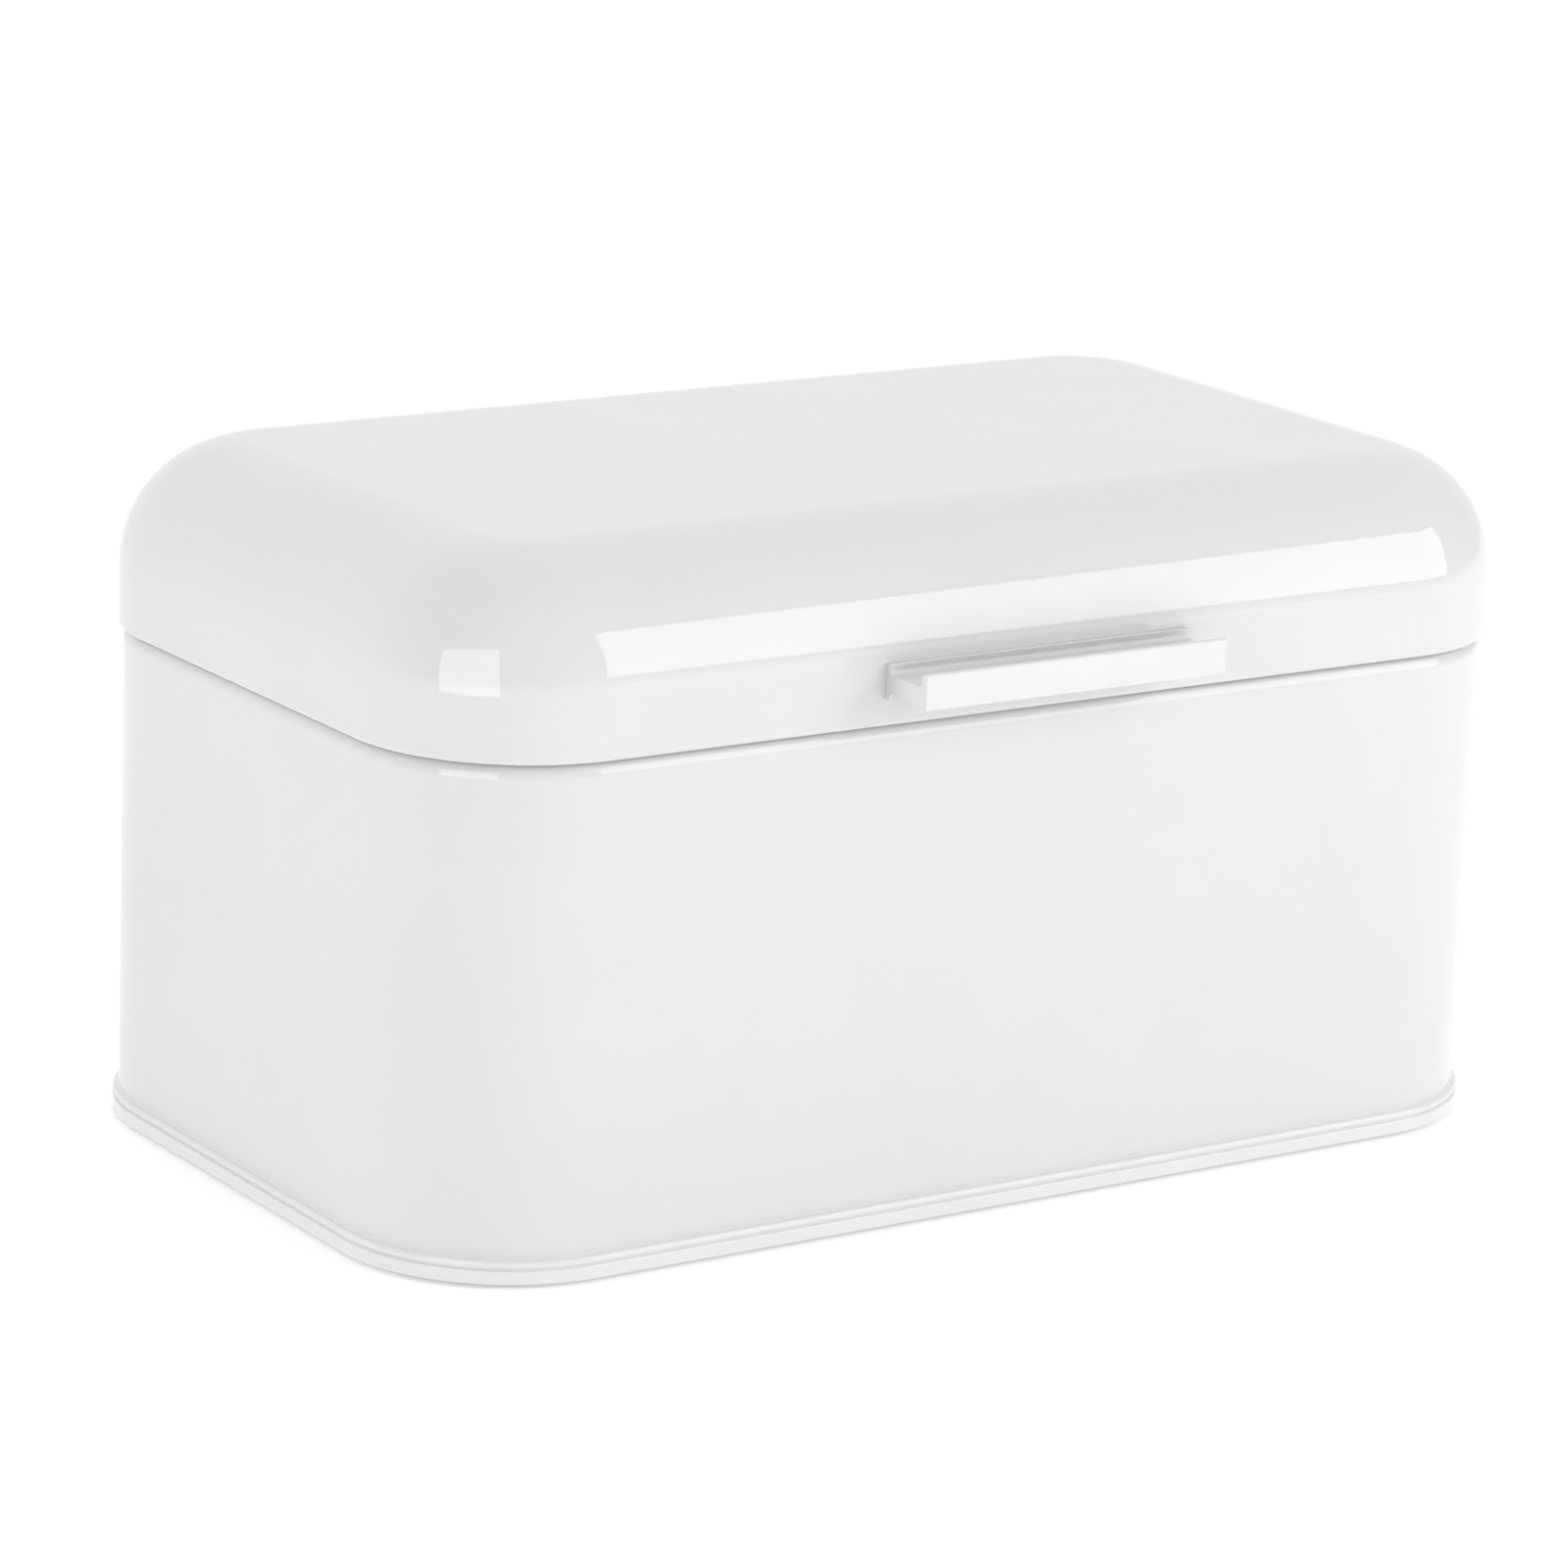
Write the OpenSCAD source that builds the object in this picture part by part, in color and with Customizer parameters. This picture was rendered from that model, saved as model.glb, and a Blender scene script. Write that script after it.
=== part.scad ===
// Sheet-steel bread box with a lift-up lid hinged at the back.
// Millimetres. +Z is up and the front faces -Y. The origin is on the surface that
// the box stands on, under the middle of the whole assembly.

/* [Body] */
// Width of the body wall, outside
body_w = 302; // [230:1:420]
// Depth of the body wall, outside
body_d = 178; // [140:1:300]
// Height of the body, from the rim's lower edge to the top of the shoulder
body_h = 117.6; // [80:0.1:220]
// Radius of the upright corners, outside
corner_r = 39.5; // [34:0.5:55]
// Thickness of the sheet steel
sheet_t = 0.5; // [0.4:0.1:1]
// Radius of the shoulder that the lid closes on
shoulder_r = 4.2; // [2.5:0.1:4.5]
// Distance of the collar inside the lid from the outside of the wall
collar_inset = 6.5; // [5.5:0.1:8]
// Height of the collar above the shoulder
collar_h = 9; // [5:0.5:11]
// Radius of the rolled edge on top of the collar
collar_bead_r = 1.1; // [0.8:0.1:1.6]
// Width of the folded seam up the back wall
seam_w = 8; // [5:0.5:12]
// How far the folded seam stands out from the back wall
seam_t = 0.6; // [0.4:0.1:1]

/* [Air holes] */
// Diameter of each air hole in the back wall
vent_d = 5; // [3:0.5:8]
// Number of air holes on each side of the back seam
vent_count = 3; // [1:1:3]
// Distance between air holes
vent_pitch = 13; // [9:0.5:14]
// Distance of the air holes' centres below the shoulder
vent_drop = 16; // [8:0.5:40]

/* [Base] */
// Height of the rolled rim round the foot of the wall
rim_h = 5.5; // [5:0.1:5.6]
// How far the rim stands out from the wall
rim_proud = 1.5; // [1.4:0.1:2]
// Height of the groove between the rim's two rounds
rim_groove_h = 3.5; // [3.2:0.1:3.8]
// Height of the base panel above the rim's lower edge
base_rise = 3.2; // [2.4:0.1:5]
// Distance from the wall to the pressed step in the base panel
base_step_inset = 22; // [20:0.5:26]
// Height of the pressed step
base_step_h = 1.5; // [0.5:0.1:3]

/* [Feet] */
// Diameter of a rubber foot
foot_d = 12; // [8:0.5:14]
// How far the feet hold the rim off the surface
foot_proud = 1; // [0.5:0.1:3]
// Distance from the wall to a foot's centre
foot_inset = 12; // [10:0.5:13]

/* [Lid] */
// Height of the lid, from its lower edge to its flat top
lid_h = 43.7; // [42:0.1:80]
// How far the lid stands out past the body wall
lid_overhang = 1.2; // [0.8:0.1:2]
// Radius of the curve from the lid's sides to its top
lid_curve_r = 29.5; // [12:0.5:29.5]
// Radius of the hem rolled inwards along the lid's lower edge
hem_r = 1.2; // [0.8:0.1:1.6]
// Gap between the closed hem and the shoulder
hem_gap = 1; // [0.3:0.1:1.2]

/* [Handle] */
// Length of the handle
handle_l = 82; // [60:1:160]
// Distance the handle stands out from the lid
handle_depth = 16; // [12:0.5:24]
// Height of the handle's flange against the lid
handle_flange_h = 8; // [7:0.1:9]
// Thickness of the flange against the lid
handle_flange_t = 1.8; // [1.2:0.1:2.5]
// Height of the grip plate at the front
handle_grip_h = 8.1; // [7:0.1:10]
// Thickness of the grip plate
handle_grip_t = 2; // [1.4:0.1:3]
// Thickness of the web between flange and grip plate
handle_web_t = 4.2; // [4:0.1:5]
// Radius of the curves from the web to the plates
handle_blend_r = 1.2; // [0.4:0.1:1.4]
// Height of the handle's lower edge above the lid's lower edge
handle_rise = 6.6; // [4:0.1:12]
// Distance between the two handle screws
screw_pitch = 64; // [40:1:64]
// Thread diameter of the handle screws
screw_d = 3; // [2.5:0.5:3]
// Length of a handle screw under its head
screw_l = 8; // [6:1:10]
// Diameter of a screw head
screw_head_d = 5.6; // [5:0.1:6]
// Height of a screw head
screw_head_h = 2; // [1.6:0.1:2.4]
// Diameter of a washer
washer_d = 9; // [7:0.5:10]
// Thickness of a washer
washer_t = 0.8; // [0.5:0.1:1.2]

/* [Hinges] */
// Distance between the middles of the two hinges
hinge_pitch = 166; // [120:1:170]
// Length of a hinge along its pin
hinge_l = 40; // [32:1:44]
// Thickness of a hinge leaf
leaf_t = 1; // [0.8:0.1:1.2]
// Radius of a leaf's free corners
leaf_corner_r = 2.5; // [1:0.5:4]
// Height of the leaf on the body
body_leaf_h = 20; // [16:0.5:30]
// Diameter of a hinge pin
pin_d = 2.6; // [2:0.1:3]
// Diameter of the heads that keep a pin in
pin_head_d = 3.8; // [3.6:0.1:4.4]
// Wall of a knuckle round its pin
knuckle_wall = 1.1; // [0.9:0.1:1.4]
// Gap between the pin and the lid's knuckle
pin_gap = 0.06; // [0.03:0.01:0.1]
// Length of each outer knuckle
outer_knuckle_l = 11; // [9:0.5:13]
// End gap between knuckles, and from the barrel to the lid
knuckle_gap = 0.4; // [0.3:0.1:0.6]
// Angle that the lid opens to, where the stop heel meets the leaf
open_angle = 100; // [85:1:115]
// Reach of the stop heel from the pin's axis
heel_l = 5.2; // [4.8:0.1:6]
// Thickness of the stop heel
heel_t = 1; // [0.8:0.1:1.4]
// Shank diameter of the rivets
rivet_d = 3; // [2.5:0.1:3.2]
// Head diameter of the rivets
rivet_head_d = 5.6; // [5:0.1:6.4]
// Head height of the rivets
rivet_head_h = 1.1; // [0.8:0.1:1.6]
// Distance between neighbouring rivets
rivet_pitch = 14; // [10:0.5:14]

/* [Hidden] */
$fn = 64;

// Heights
rim_z = foot_proud;                              // the rim's lower edge
shoulder_z = rim_z + body_h;                     // top of the shoulder
collar_top_z = shoulder_z + collar_h;
base_z = rim_z + base_rise;                      // upper face of the base panel's border
wall_foot_z = rim_z + sheet_t;                   // the wall stands in the rim's channel
rim_fillet = 0.4;                                // enamel gathered where the rim meets the wall

// The hem rolls down onto the shoulder's round, hem_gap away from it.
hem_x = lid_overhang - hem_r;                    // centre of the hem, out from the wall
hem_z = shoulder_z - shoulder_r
      + sqrt(pow(shoulder_r + hem_r + hem_gap, 2) - pow(hem_x + shoulder_r, 2));
lid_edge_z = hem_z - hem_r;
lid_top_z = lid_edge_z + lid_h;

// Outer faces in plan, before the assembly is centred on the origin
wall_y = body_d / 2;
lid_y = wall_y + lid_overhang;

// Hinge barrel: behind the lid, level with the shoulder
pin_r = pin_d / 2;
knuckle_r = pin_r + pin_gap + knuckle_wall;
pivot_y = lid_y + knuckle_gap + knuckle_r;
pivot_z = shoulder_z;
neck_y = pivot_y - knuckle_r;                    // the leaves run into the barrel here
body_leaf_top_z = shoulder_z - shoulder_r - knuckle_gap;
body_leaf_low_z = body_leaf_top_z - body_leaf_h;
lid_leaf_low_z = pivot_z + knuckle_r + knuckle_gap;
lid_leaf_top_z = lid_top_z - lid_curve_r - knuckle_gap;
inner_knuckle_l = hinge_l - 2 * (outer_knuckle_l + knuckle_gap);
pin_head_t = 0.8;
joggle_drop = 2;                                 // height that a leaf takes to step outwards

// The heel's leading edge meets the body leaf's face when the lid has turned by open_angle.
stop_gap = 0.08;
heel_reach = norm([heel_l, heel_t / 2]);
heel_from_leaf = pivot_y - wall_y - leaf_t - stop_gap;
heel_closed_angle = open_angle + atan2(heel_t / 2, heel_l) - acos(-heel_from_leaf / heel_reach);

// Rivets
rivet_hole_r = rivet_d / 2;
rivet_tail_d = rivet_head_d - 1;
rivet_tail_h = 0.8;
body_rivet_z = body_leaf_low_z + body_leaf_h / 2 - 1;
lid_rivet_z = (lid_leaf_low_z + lid_leaf_top_z) / 2;

// Handle, with heights counted from its lower edge
handle_z = lid_edge_z + handle_rise;
web_rise = 1.4;
grip_rise = 0.5;
grip_edge_r = 0.6;
screw_z = handle_z + web_rise + handle_web_t / 2;
screw_hole_r = screw_d / 2 + 0.2;
screw_room = 1;                                  // depth left past the screw's end
grip_of_screw = sheet_t + washer_t;

// The assembly's extent front and back sets the origin midway.
front_y = -(lid_y + handle_depth);
rear_y = pivot_y + heel_l * cos(heel_closed_angle) + heel_t / 2 * abs(sin(heel_closed_angle));
origin_y = (front_y + rear_y) / 2;

steel_white = [0.93, 0.93, 0.92];

// ---------- helpers ----------

// Moves what is drawn about the body's middle so that the whole assembly is centred.
module placed() { translate([0, -origin_y, 0]) children(); }

// Sweeps a section round the body's outline. The section's x runs outwards from the
// outside of the wall, and its y is the height.
module round_the_wall() {
    for (side = [0:3]) {
        across = side % 2 == 0 ? body_w : body_d;
        along = side % 2 == 0 ? body_d : body_w;
        rotate([0, 0, 90 * side]) {
            translate([across / 2, along / 2 - corner_r, 0])
                rotate([90, 0, 0])
                    linear_extrude(along - 2 * corner_r) children();
            translate([across / 2 - corner_r, along / 2 - corner_r, 0])
                rotate_extrude(angle = 90) translate([corner_r, 0]) children();
        }
    }
}

// Outline of the body, grown by out (or shrunk, where out is negative)
module outline(out) {
    w = body_w + 2 * out;
    d = body_d + 2 * out;
    r = corner_r + out;
    square([w - 2 * r, d], center = true);
    square([w, d - 2 * r], center = true);
    for (x = [-1, 1], y = [-1, 1])
        translate([x * (w / 2 - r), y * (d / 2 - r)]) circle(r);
}

// Quarter of a sheet bend about its centre. The quadrant is given by the signs in q.
module bend(inner_r, q) {
    intersection() {
        difference() {
            circle(inner_r + sheet_t);
            circle(inner_r);
        }
        scale_to = inner_r + 2 * sheet_t;
        translate([q[0] < 0 ? -scale_to : 0, q[1] < 0 ? -scale_to : 0]) square(scale_to);
    }
}

// Cylinder along Y from y = 0 towards the back
module along_y(r, l) { rotate([-90, 0, 0]) cylinder(r = r, h = l); }

// Extrudes a section drawn with x to the back and y up, centred along X.
module along_x(l) {
    translate([l / 2, 0, 0]) rotate([0, 0, 180]) rotate([90, 0, 90])
        mirror([1, 0, 0]) linear_extrude(l) children();
}

function rivet_xs() = [-rivet_pitch / 2, rivet_pitch / 2];

// ---------- body ----------

module wall_section() {
    bend_r = 1;
    ledge_end = -collar_inset + bend_r;
    translate([-sheet_t, wall_foot_z])
        square([sheet_t, shoulder_z - shoulder_r - wall_foot_z]);
    translate([-shoulder_r, shoulder_z - shoulder_r]) bend(shoulder_r - sheet_t, [1, 1]);
    translate([ledge_end, shoulder_z - sheet_t]) square([-shoulder_r - ledge_end, sheet_t]);
    translate([ledge_end, shoulder_z + bend_r]) bend(bend_r, [-1, -1]);
    translate([-collar_inset - sheet_t, shoulder_z + bend_r])
        square([sheet_t, collar_h - bend_r - collar_bead_r]);
    translate([-collar_inset - collar_bead_r, collar_top_z - collar_bead_r])
        circle(collar_bead_r);
}

module body_shell() {
    seam_top_z = shoulder_z - shoulder_r - 2;
    seam_low_z = rim_z + rim_h + rim_fillet + 0.2;
    color(steel_white) placed() difference() {
        union() {
            round_the_wall() wall_section();
            translate([-seam_w / 2, wall_y - sheet_t / 2, seam_low_z])
                cube([seam_w, sheet_t / 2 + seam_t, seam_top_z - seam_low_z]);
        }
        for (side = [-1, 1], i = [0:vent_count - 1])
            translate([side * (seam_w + i * vent_pitch + vent_d), wall_y - 5, shoulder_z - vent_drop])
                along_y(vent_d / 2, 10);
        for (side = [-1, 1], x = rivet_xs())
            translate([side * hinge_pitch / 2 + x, wall_y - 5, body_rivet_z])
                along_y(rivet_hole_r, 10);
    }
}

// ---------- base ----------

// Two rounds one above the other, closed over the foot of the wall
module rim_section() {
    low_edge_r = 0.5;
    neck_out = rim_proud - 0.6;
    upper_r = (rim_h - rim_groove_h) / 2;
    upper_x = rim_proud - 0.1 - upper_r;
    translate([0, rim_z]) {
        square([neck_out, rim_h - upper_r]);
        translate([0, low_edge_r]) square([rim_proud, rim_groove_h - 0.2 - 2 * low_edge_r]);
        square([rim_proud - low_edge_r, rim_groove_h - 0.2]);
        for (z = [low_edge_r, rim_groove_h - 0.2 - low_edge_r])
            translate([rim_proud - low_edge_r, z]) circle(low_edge_r);
        intersection() {
            translate([upper_x, rim_h - upper_r]) circle(upper_r);
            square([rim_proud, rim_h]);
        }
        polygon([
            [0, rim_h - upper_r],
            [upper_x, rim_h - upper_r],
            [upper_x, rim_h],
            [0, rim_h + rim_fillet],
        ]);
        translate([-2 * sheet_t, 0]) square([2 * sheet_t + neck_out, sheet_t]);
        translate([-2 * sheet_t, 0]) square([sheet_t, base_rise]);
    }
}

module base_border_section() {
    translate([-base_step_inset, base_z - sheet_t])
        square([base_step_inset - sheet_t, sheet_t]);
    polygon([
        [-base_step_inset, base_z - sheet_t],
        [-base_step_inset, base_z],
        [-base_step_inset - 2 * base_step_h, base_z + base_step_h],
        [-base_step_inset - 2 * base_step_h, base_z + base_step_h - sheet_t],
    ]);
}

module base_panel() {
    color(steel_white) placed() {
        round_the_wall() {
            rim_section();
            base_border_section();
        }
        translate([0, 0, base_z + base_step_h - sheet_t])
            linear_extrude(sheet_t) outline(-base_step_inset - 2 * base_step_h);
    }
}

module foot(x_side, y_side) {
    edge_r = 0.8;
    h = base_z - sheet_t;
    from_corner = (corner_r - foot_inset) * cos(45);
    color("whitesmoke") placed()
        translate([x_side * (body_w / 2 - corner_r + from_corner),
                   y_side * (body_d / 2 - corner_r + from_corner), 0])
            rotate_extrude() {
                square([foot_d / 2 - edge_r, h]);
                translate([0, edge_r]) square([foot_d / 2, h - edge_r]);
                translate([foot_d / 2 - edge_r, edge_r]) circle(edge_r);
            }
}

// ---------- lid ----------

module lid_section() {
    curve_z = lid_top_z - lid_curve_r;
    translate([hem_x, hem_z]) circle(hem_r);
    translate([lid_overhang - sheet_t, hem_z]) square([sheet_t, curve_z - hem_z]);
    translate([lid_overhang - lid_curve_r, curve_z]) bend(lid_curve_r - sheet_t, [1, 1]);
}

module lid_shell() {
    color(steel_white) placed() difference() {
        union() {
            round_the_wall() lid_section();
            translate([0, 0, lid_top_z - sheet_t])
                linear_extrude(sheet_t) outline(lid_overhang - lid_curve_r);
        }
        for (x = [-1, 1])
            translate([x * screw_pitch / 2, -lid_y - 2, screw_z]) along_y(screw_hole_r, 4);
        for (side = [-1, 1], x = rivet_xs())
            translate([side * hinge_pitch / 2 + x, lid_y - 2, lid_rivet_z])
                along_y(rivet_hole_r, 4);
    }
}

// ---------- handle ----------

// Curve of the section where the web meets a plate, in the corner at the origin
module blend_corner(r) {
    difference() {
        square(r);
        translate([r, r]) circle(r);
    }
}

// Section of the extruded bar: x from the lid outwards, y up
module handle_section() {
    web_top = web_rise + handle_web_t;
    grip_x = handle_depth - handle_grip_t;
    low_blend_r = web_rise - grip_rise;
    square([handle_flange_t, handle_flange_h]);
    translate([0, web_rise]) square([handle_depth - grip_edge_r, handle_web_t]);
    translate([grip_x, grip_rise + grip_edge_r])
        square([handle_grip_t, handle_grip_h - 2 * grip_edge_r]);
    translate([grip_x + grip_edge_r, grip_rise])
        square([handle_grip_t - 2 * grip_edge_r, handle_grip_h]);
    for (x = [grip_x, handle_depth - 2 * grip_edge_r], y = [0, handle_grip_h - 2 * grip_edge_r])
        translate([x + grip_edge_r, grip_rise + grip_edge_r + y]) circle(grip_edge_r);
    translate([grip_x, grip_rise]) square(grip_edge_r);
    translate([handle_flange_t, web_top]) blend_corner(handle_blend_r);
    translate([grip_x, web_top]) mirror([1, 0]) blend_corner(handle_blend_r);
    translate([handle_flange_t, web_rise]) mirror([0, 1]) blend_corner(low_blend_r);
    translate([grip_x, web_rise]) mirror([1, 0]) mirror([0, 1]) blend_corner(low_blend_r);
}

module handle_bar() {
    color("white") placed() difference() {
        translate([0, -lid_y, handle_z]) along_x(handle_l) mirror([1, 0]) handle_section();
        for (x = [-1, 1])
            translate([x * screw_pitch / 2, -lid_y, screw_z])
                rotate([180, 0, 0]) along_y(screw_d / 2, screw_l - grip_of_screw + screw_room);
    }
}

module handle_screws() {
    recess_w = 0.9;
    recess_l = 3;
    recess_h = 1.2;
    head_y = -lid_y + grip_of_screw;
    color("silver") placed() for (x = [-1, 1])
        translate([x * screw_pitch / 2, head_y, screw_z]) difference() {
            union() {
                along_y(screw_head_d / 2, screw_head_h);
                rotate([180, 0, 0]) along_y(screw_d / 2, screw_l);
            }
            for (turn = [0, 90])
                rotate([0, turn, 0])
                    translate([-recess_l / 2, screw_head_h - recess_h, -recess_w / 2])
                        cube([recess_l, recess_h + 1, recess_w]);
        }
}

module handle_washers() {
    color("silver") placed() for (x = [-1, 1])
        translate([x * screw_pitch / 2, -lid_y + sheet_t, screw_z]) difference() {
            along_y(washer_d / 2, washer_t);
            translate([0, -1, 0]) along_y(screw_hole_r, washer_t + 2);
        }
}

// ---------- hinges ----------

module knuckle(x, l, bore_r) {
    translate([x, pivot_y, pivot_z]) along_x(l) difference() {
        circle(knuckle_r);
        circle(bore_r);
    }
}

// Flat of a leaf, standing up from its free edge with rounded corners
module leaf_plate(h) {
    r = leaf_corner_r;
    translate([0, leaf_t, 0]) rotate([90, 0, 0]) linear_extrude(leaf_t) {
        translate([-hinge_l / 2, r]) square([hinge_l, h - r]);
        translate([-hinge_l / 2 + r, 0]) square([hinge_l - 2 * r, h]);
        for (x = [-1, 1]) translate([x * (hinge_l / 2 - r), r]) circle(r);
    }
}

// Section that steps from the leaf on the wall out to the barrel, under the pin
module body_neck_section() {
    polygon([
        [neck_y, pivot_z],
        [neck_y, body_leaf_top_z - 0.5],
        [wall_y + 0.2, body_leaf_top_z - joggle_drop - 0.5],
        [wall_y + 0.2, body_leaf_top_z - joggle_drop - 2],
        [wall_y + leaf_t, body_leaf_top_z - joggle_drop - 2],
        [neck_y + leaf_t, body_leaf_top_z - joggle_drop],
        [neck_y + leaf_t, pivot_z],
    ]);
}

module body_leaf(side) {
    middle = side * hinge_pitch / 2;
    outer_x = (hinge_l - outer_knuckle_l) / 2;
    color(steel_white) placed() difference() {
        union() {
            translate([middle, wall_y, body_leaf_low_z]) leaf_plate(body_leaf_h);
            for (x = [-outer_x, outer_x]) {
                knuckle(middle + x, outer_knuckle_l, pin_r);
                difference() {
                    translate([middle + x, 0, 0]) along_x(outer_knuckle_l) body_neck_section();
                    translate([middle + x, pivot_y, pivot_z])
                        along_x(outer_knuckle_l + 2) circle(knuckle_r - 0.3);
                }
            }
        }
        for (x = rivet_xs())
            translate([middle + x, wall_y - 1, body_rivet_z])
                along_y(rivet_hole_r, leaf_t + 2);
    }
}

module lid_leaf(side) {
    middle = side * hinge_pitch / 2;
    neck_top_z = lid_leaf_low_z + 1;
    color(steel_white) placed() difference() {
        union() {
            translate([middle, lid_y, lid_leaf_top_z])
                mirror([0, 0, 1]) leaf_plate(lid_leaf_top_z - lid_leaf_low_z);
            knuckle(middle, inner_knuckle_l, pin_r + pin_gap);
            difference() {
                translate([middle - inner_knuckle_l / 2, neck_y, pivot_z])
                    cube([inner_knuckle_l, leaf_t, neck_top_z - pivot_z]);
                translate([middle, pivot_y, pivot_z])
                    along_x(inner_knuckle_l + 2) circle(knuckle_r - 0.3);
            }
            translate([middle - inner_knuckle_l / 2, pivot_y, pivot_z])
                rotate([heel_closed_angle, 0, 0])
                    translate([0, knuckle_r - 0.3, -heel_t / 2])
                        cube([inner_knuckle_l, heel_l - knuckle_r + 0.3, heel_t]);
        }
        for (x = rivet_xs())
            translate([middle + x, lid_y - 1, lid_rivet_z]) along_y(rivet_hole_r, leaf_t + 2);
    }
}

module hinge_pin(side) {
    color("silver") placed() translate([side * hinge_pitch / 2, pivot_y, pivot_z]) {
        along_x(hinge_l) circle(pin_r);
        for (end = [-1, 1])
            translate([end * (hinge_l + pin_head_t) / 2, 0, 0])
                along_x(pin_head_t) circle(pin_head_d / 2);
    }
}

// Rivet from outside, along -Y: domed head, shank, and a flat tail inside
module rivet(outer_y, grip, z) {
    r = rivet_head_d / 2;
    dome_r = (r * r + rivet_head_h * rivet_head_h) / (2 * rivet_head_h);
    translate([0, outer_y, z]) {
        intersection() {
            translate([0, rivet_head_h - dome_r, 0]) sphere(dome_r);
            along_y(r, rivet_head_h + 1);
        }
        rotate([180, 0, 0]) {
            along_y(rivet_hole_r, grip);
            translate([0, grip, 0]) along_y(rivet_tail_d / 2, rivet_tail_h);
        }
    }
}

module rivets(side, outer_y, z) {
    color(steel_white) placed() for (x = rivet_xs())
        translate([side * hinge_pitch / 2 + x, 0, 0]) rivet(outer_y, leaf_t + sheet_t, z);
}

// ---------- assembly ----------

body_shell();
base_panel();
lid_shell();
handle_bar();
handle_screws();
handle_washers();
body_leaf(-1);  // hinge_left_body_leaf
lid_leaf(-1);  // hinge_left_lid_leaf
hinge_pin(-1);  // hinge_left_pin
body_leaf(1);  // hinge_right_body_leaf
lid_leaf(1);  // hinge_right_lid_leaf
hinge_pin(1);  // hinge_right_pin
rivets(-1, wall_y + leaf_t, body_rivet_z);  // body_rivets_left
rivets(1, wall_y + leaf_t, body_rivet_z);  // body_rivets_right
rivets(-1, lid_y + leaf_t, lid_rivet_z);  // lid_rivets_left
rivets(1, lid_y + leaf_t, lid_rivet_z);  // lid_rivets_right
foot(-1, -1);  // foot_front_left
foot(1, -1);  // foot_front_right
foot(-1, 1);  // foot_rear_left
foot(1, 1);  // foot_rear_right
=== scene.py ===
"""Looks of the sheet-steel bread box: enamelled sheet, bar handle, hinges and a plain studio."""

import math

import bmesh
import bpy
from mathutils import Matrix, Vector


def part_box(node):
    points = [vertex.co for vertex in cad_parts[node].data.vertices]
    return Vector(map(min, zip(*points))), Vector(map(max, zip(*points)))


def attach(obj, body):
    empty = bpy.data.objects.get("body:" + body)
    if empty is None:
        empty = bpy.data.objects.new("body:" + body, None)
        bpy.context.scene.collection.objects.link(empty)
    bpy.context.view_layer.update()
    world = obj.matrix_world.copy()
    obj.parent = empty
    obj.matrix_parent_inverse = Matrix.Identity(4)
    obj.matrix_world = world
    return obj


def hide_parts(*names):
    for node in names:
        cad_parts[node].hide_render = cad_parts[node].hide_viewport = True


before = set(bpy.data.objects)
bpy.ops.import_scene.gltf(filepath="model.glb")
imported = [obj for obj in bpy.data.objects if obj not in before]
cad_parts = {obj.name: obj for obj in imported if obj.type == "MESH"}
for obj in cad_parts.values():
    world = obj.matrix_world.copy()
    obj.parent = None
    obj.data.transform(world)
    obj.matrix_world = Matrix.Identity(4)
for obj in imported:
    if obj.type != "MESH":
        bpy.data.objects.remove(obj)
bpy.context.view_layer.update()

MM = 0.001


def box_mm(node):
    """Lowest and highest corner of a CAD node, in millimetres."""
    low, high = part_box(node)
    return low / MM, high / MM


def middle_of(node):
    """Middle of a CAD node's box, in millimetres."""
    low, high = box_mm(node)
    return [(a + b) / 2 for a, b in zip(low, high)]


# ---------- sizes, in millimetres and degrees ----------
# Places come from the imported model; the sections' details are those of the CAD model.

LID_LOW, LID_HIGH = box_mm("lid_shell")
WALL_LOW, WALL_HIGH = box_mm("body_shell")
BAR_LOW, BAR_HIGH = box_mm("handle_bar")
RIM_Z = box_mm("base_panel")[0].z
BODY_LEAF_FOOT_Z = box_mm("hinge_right_body_leaf")[0].z
LID_LEAF_TOP_Z = box_mm("hinge_right_lid_leaf")[1].z
SCREW_TIP_Y = box_mm("handle_screws")[0].y
_, _, SCREW_Z = middle_of("handle_screws")
_, _, BODY_RIVET_Z = middle_of("body_rivets_left")
_, _, LID_RIVET_Z = middle_of("lid_rivets_left")
_, PIVOT_Y, PIVOT_Z = middle_of("hinge_right_pin")

SHEET = 0.5
CORNER_R = 39.5
SHOULDER_R = 4.2
COLLAR_INSET = 6.5
COLLAR_H = 9
COLLAR_BEND_R = 1
BEAD_R = 1.1
LID_OVERHANG = 1.2
LID_CURVE_R = 29.5
HEM_R = 1.2
RIM_PROUD = 1.5
RIM_H = 5.5
RIM_BAND_H = 3.3
RIM_NECK = 0.9
RIM_ROUND_R = 1
RIM_ROUND_X = 0.4
RIM_FILLET = 0.4
BASE_RISE = 3.2
STEP_INSET = 22
STEP_H = 1.5
SEAM_W = 8
SEAM_T = 0.6
SEAM_SUNK = 0.25
SEAM_FOOT_GAP = 0.2
SEAM_TOP_GAP = 2
VENT_D = 5
VENT_DROP = 16
VENT_XS = (13, 26, 39)
RIVET_D = 3
RIVET_PITCH = 14
RIVET_HEAD_D = 5.6
RIVET_HEAD_H = 1.1
RIVET_TAIL_D = 4.6
RIVET_TAIL_H = 0.8
RIVET_TAIL_R = 0.3
HINGE_PITCH = 166
HINGE_L = 40
LEAF_T = 1
LEAF_CORNER_R = 2.5
LEAF_EDGE_R = 0.12
LEAF_BEND_H = 2
BODY_LEAF_GAP = 2.4
BODY_ROOT_H = 12
BODY_BEND_GAP = 0.6
LID_LEAF_GAP = 0.4
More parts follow.
